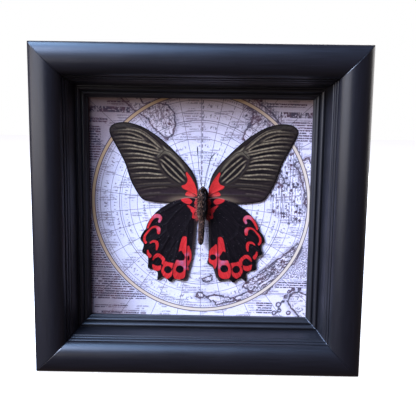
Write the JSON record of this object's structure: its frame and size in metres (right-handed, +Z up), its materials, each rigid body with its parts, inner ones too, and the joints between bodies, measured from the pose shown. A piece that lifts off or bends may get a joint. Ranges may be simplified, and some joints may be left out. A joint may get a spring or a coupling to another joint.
{
  "type": "framed butterfly specimen",
  "caption": "Square deep-moulded black frame with a spread swallowtail butterfly, underside forward, mounted over an old-style polar chart card.",
  "frame": {"origin": "centre of the footprint, on the plane that the frame's bottom rail stands on", "axes": "+Z up, -Y out of the front, +X to the viewer's right"},
  "size_m": [0.2032, 0.0408, 0.2032],
  "materials": {
    "satin_black_wood": "satin black lacquer with very fine hand-rubbed streaks",
    "printed_card": "matt off-white printed chart with a tan ring",
    "hardboard": "raw brown hardboard",
    "zinc_steel": "dull zinc-plated strip",
    "hanger_steel": "bright plated strip and nails",
    "body_scales": "grey-brown scales and hair",
    "forewing_scales": "matt black-brown scales with pale rays, red at the base",
    "hindwing_scales": "velvety black scales with red lunules and rings",
    "antenna_black": "dull black",
    "mounting_foam": "white closed-cell foam"
  },
  "bodies": {
    "root": {"rail_top": "satin_black_wood", "rail_bottom": "satin_black_wood", "rail_left": "satin_black_wood", "rail_right": "satin_black_wood", "chart_card": "printed_card", "backing_board": "hardboard", "framers_point_1": "zinc_steel", "framers_point_2": "zinc_steel", "framers_point_3": "zinc_steel", "framers_point_4": "zinc_steel", "framers_point_5": "zinc_steel", "framers_point_6": "zinc_steel", "framers_point_7": "zinc_steel", "framers_point_8": "zinc_steel", "sawtooth_hanger": "hanger_steel", "hanger_nail_left": "hanger_steel", "hanger_nail_right": "hanger_steel", "butterfly_body": "body_scales", "forewing_left": "forewing_scales", "hindwing_left": "hindwing_scales", "antenna_left": "antenna_black", "forewing_right": "forewing_scales", "hindwing_right": "hindwing_scales", "antenna_right": "antenna_black", "mounting_pad": "mounting_foam"}
  },
  "joints": []
}
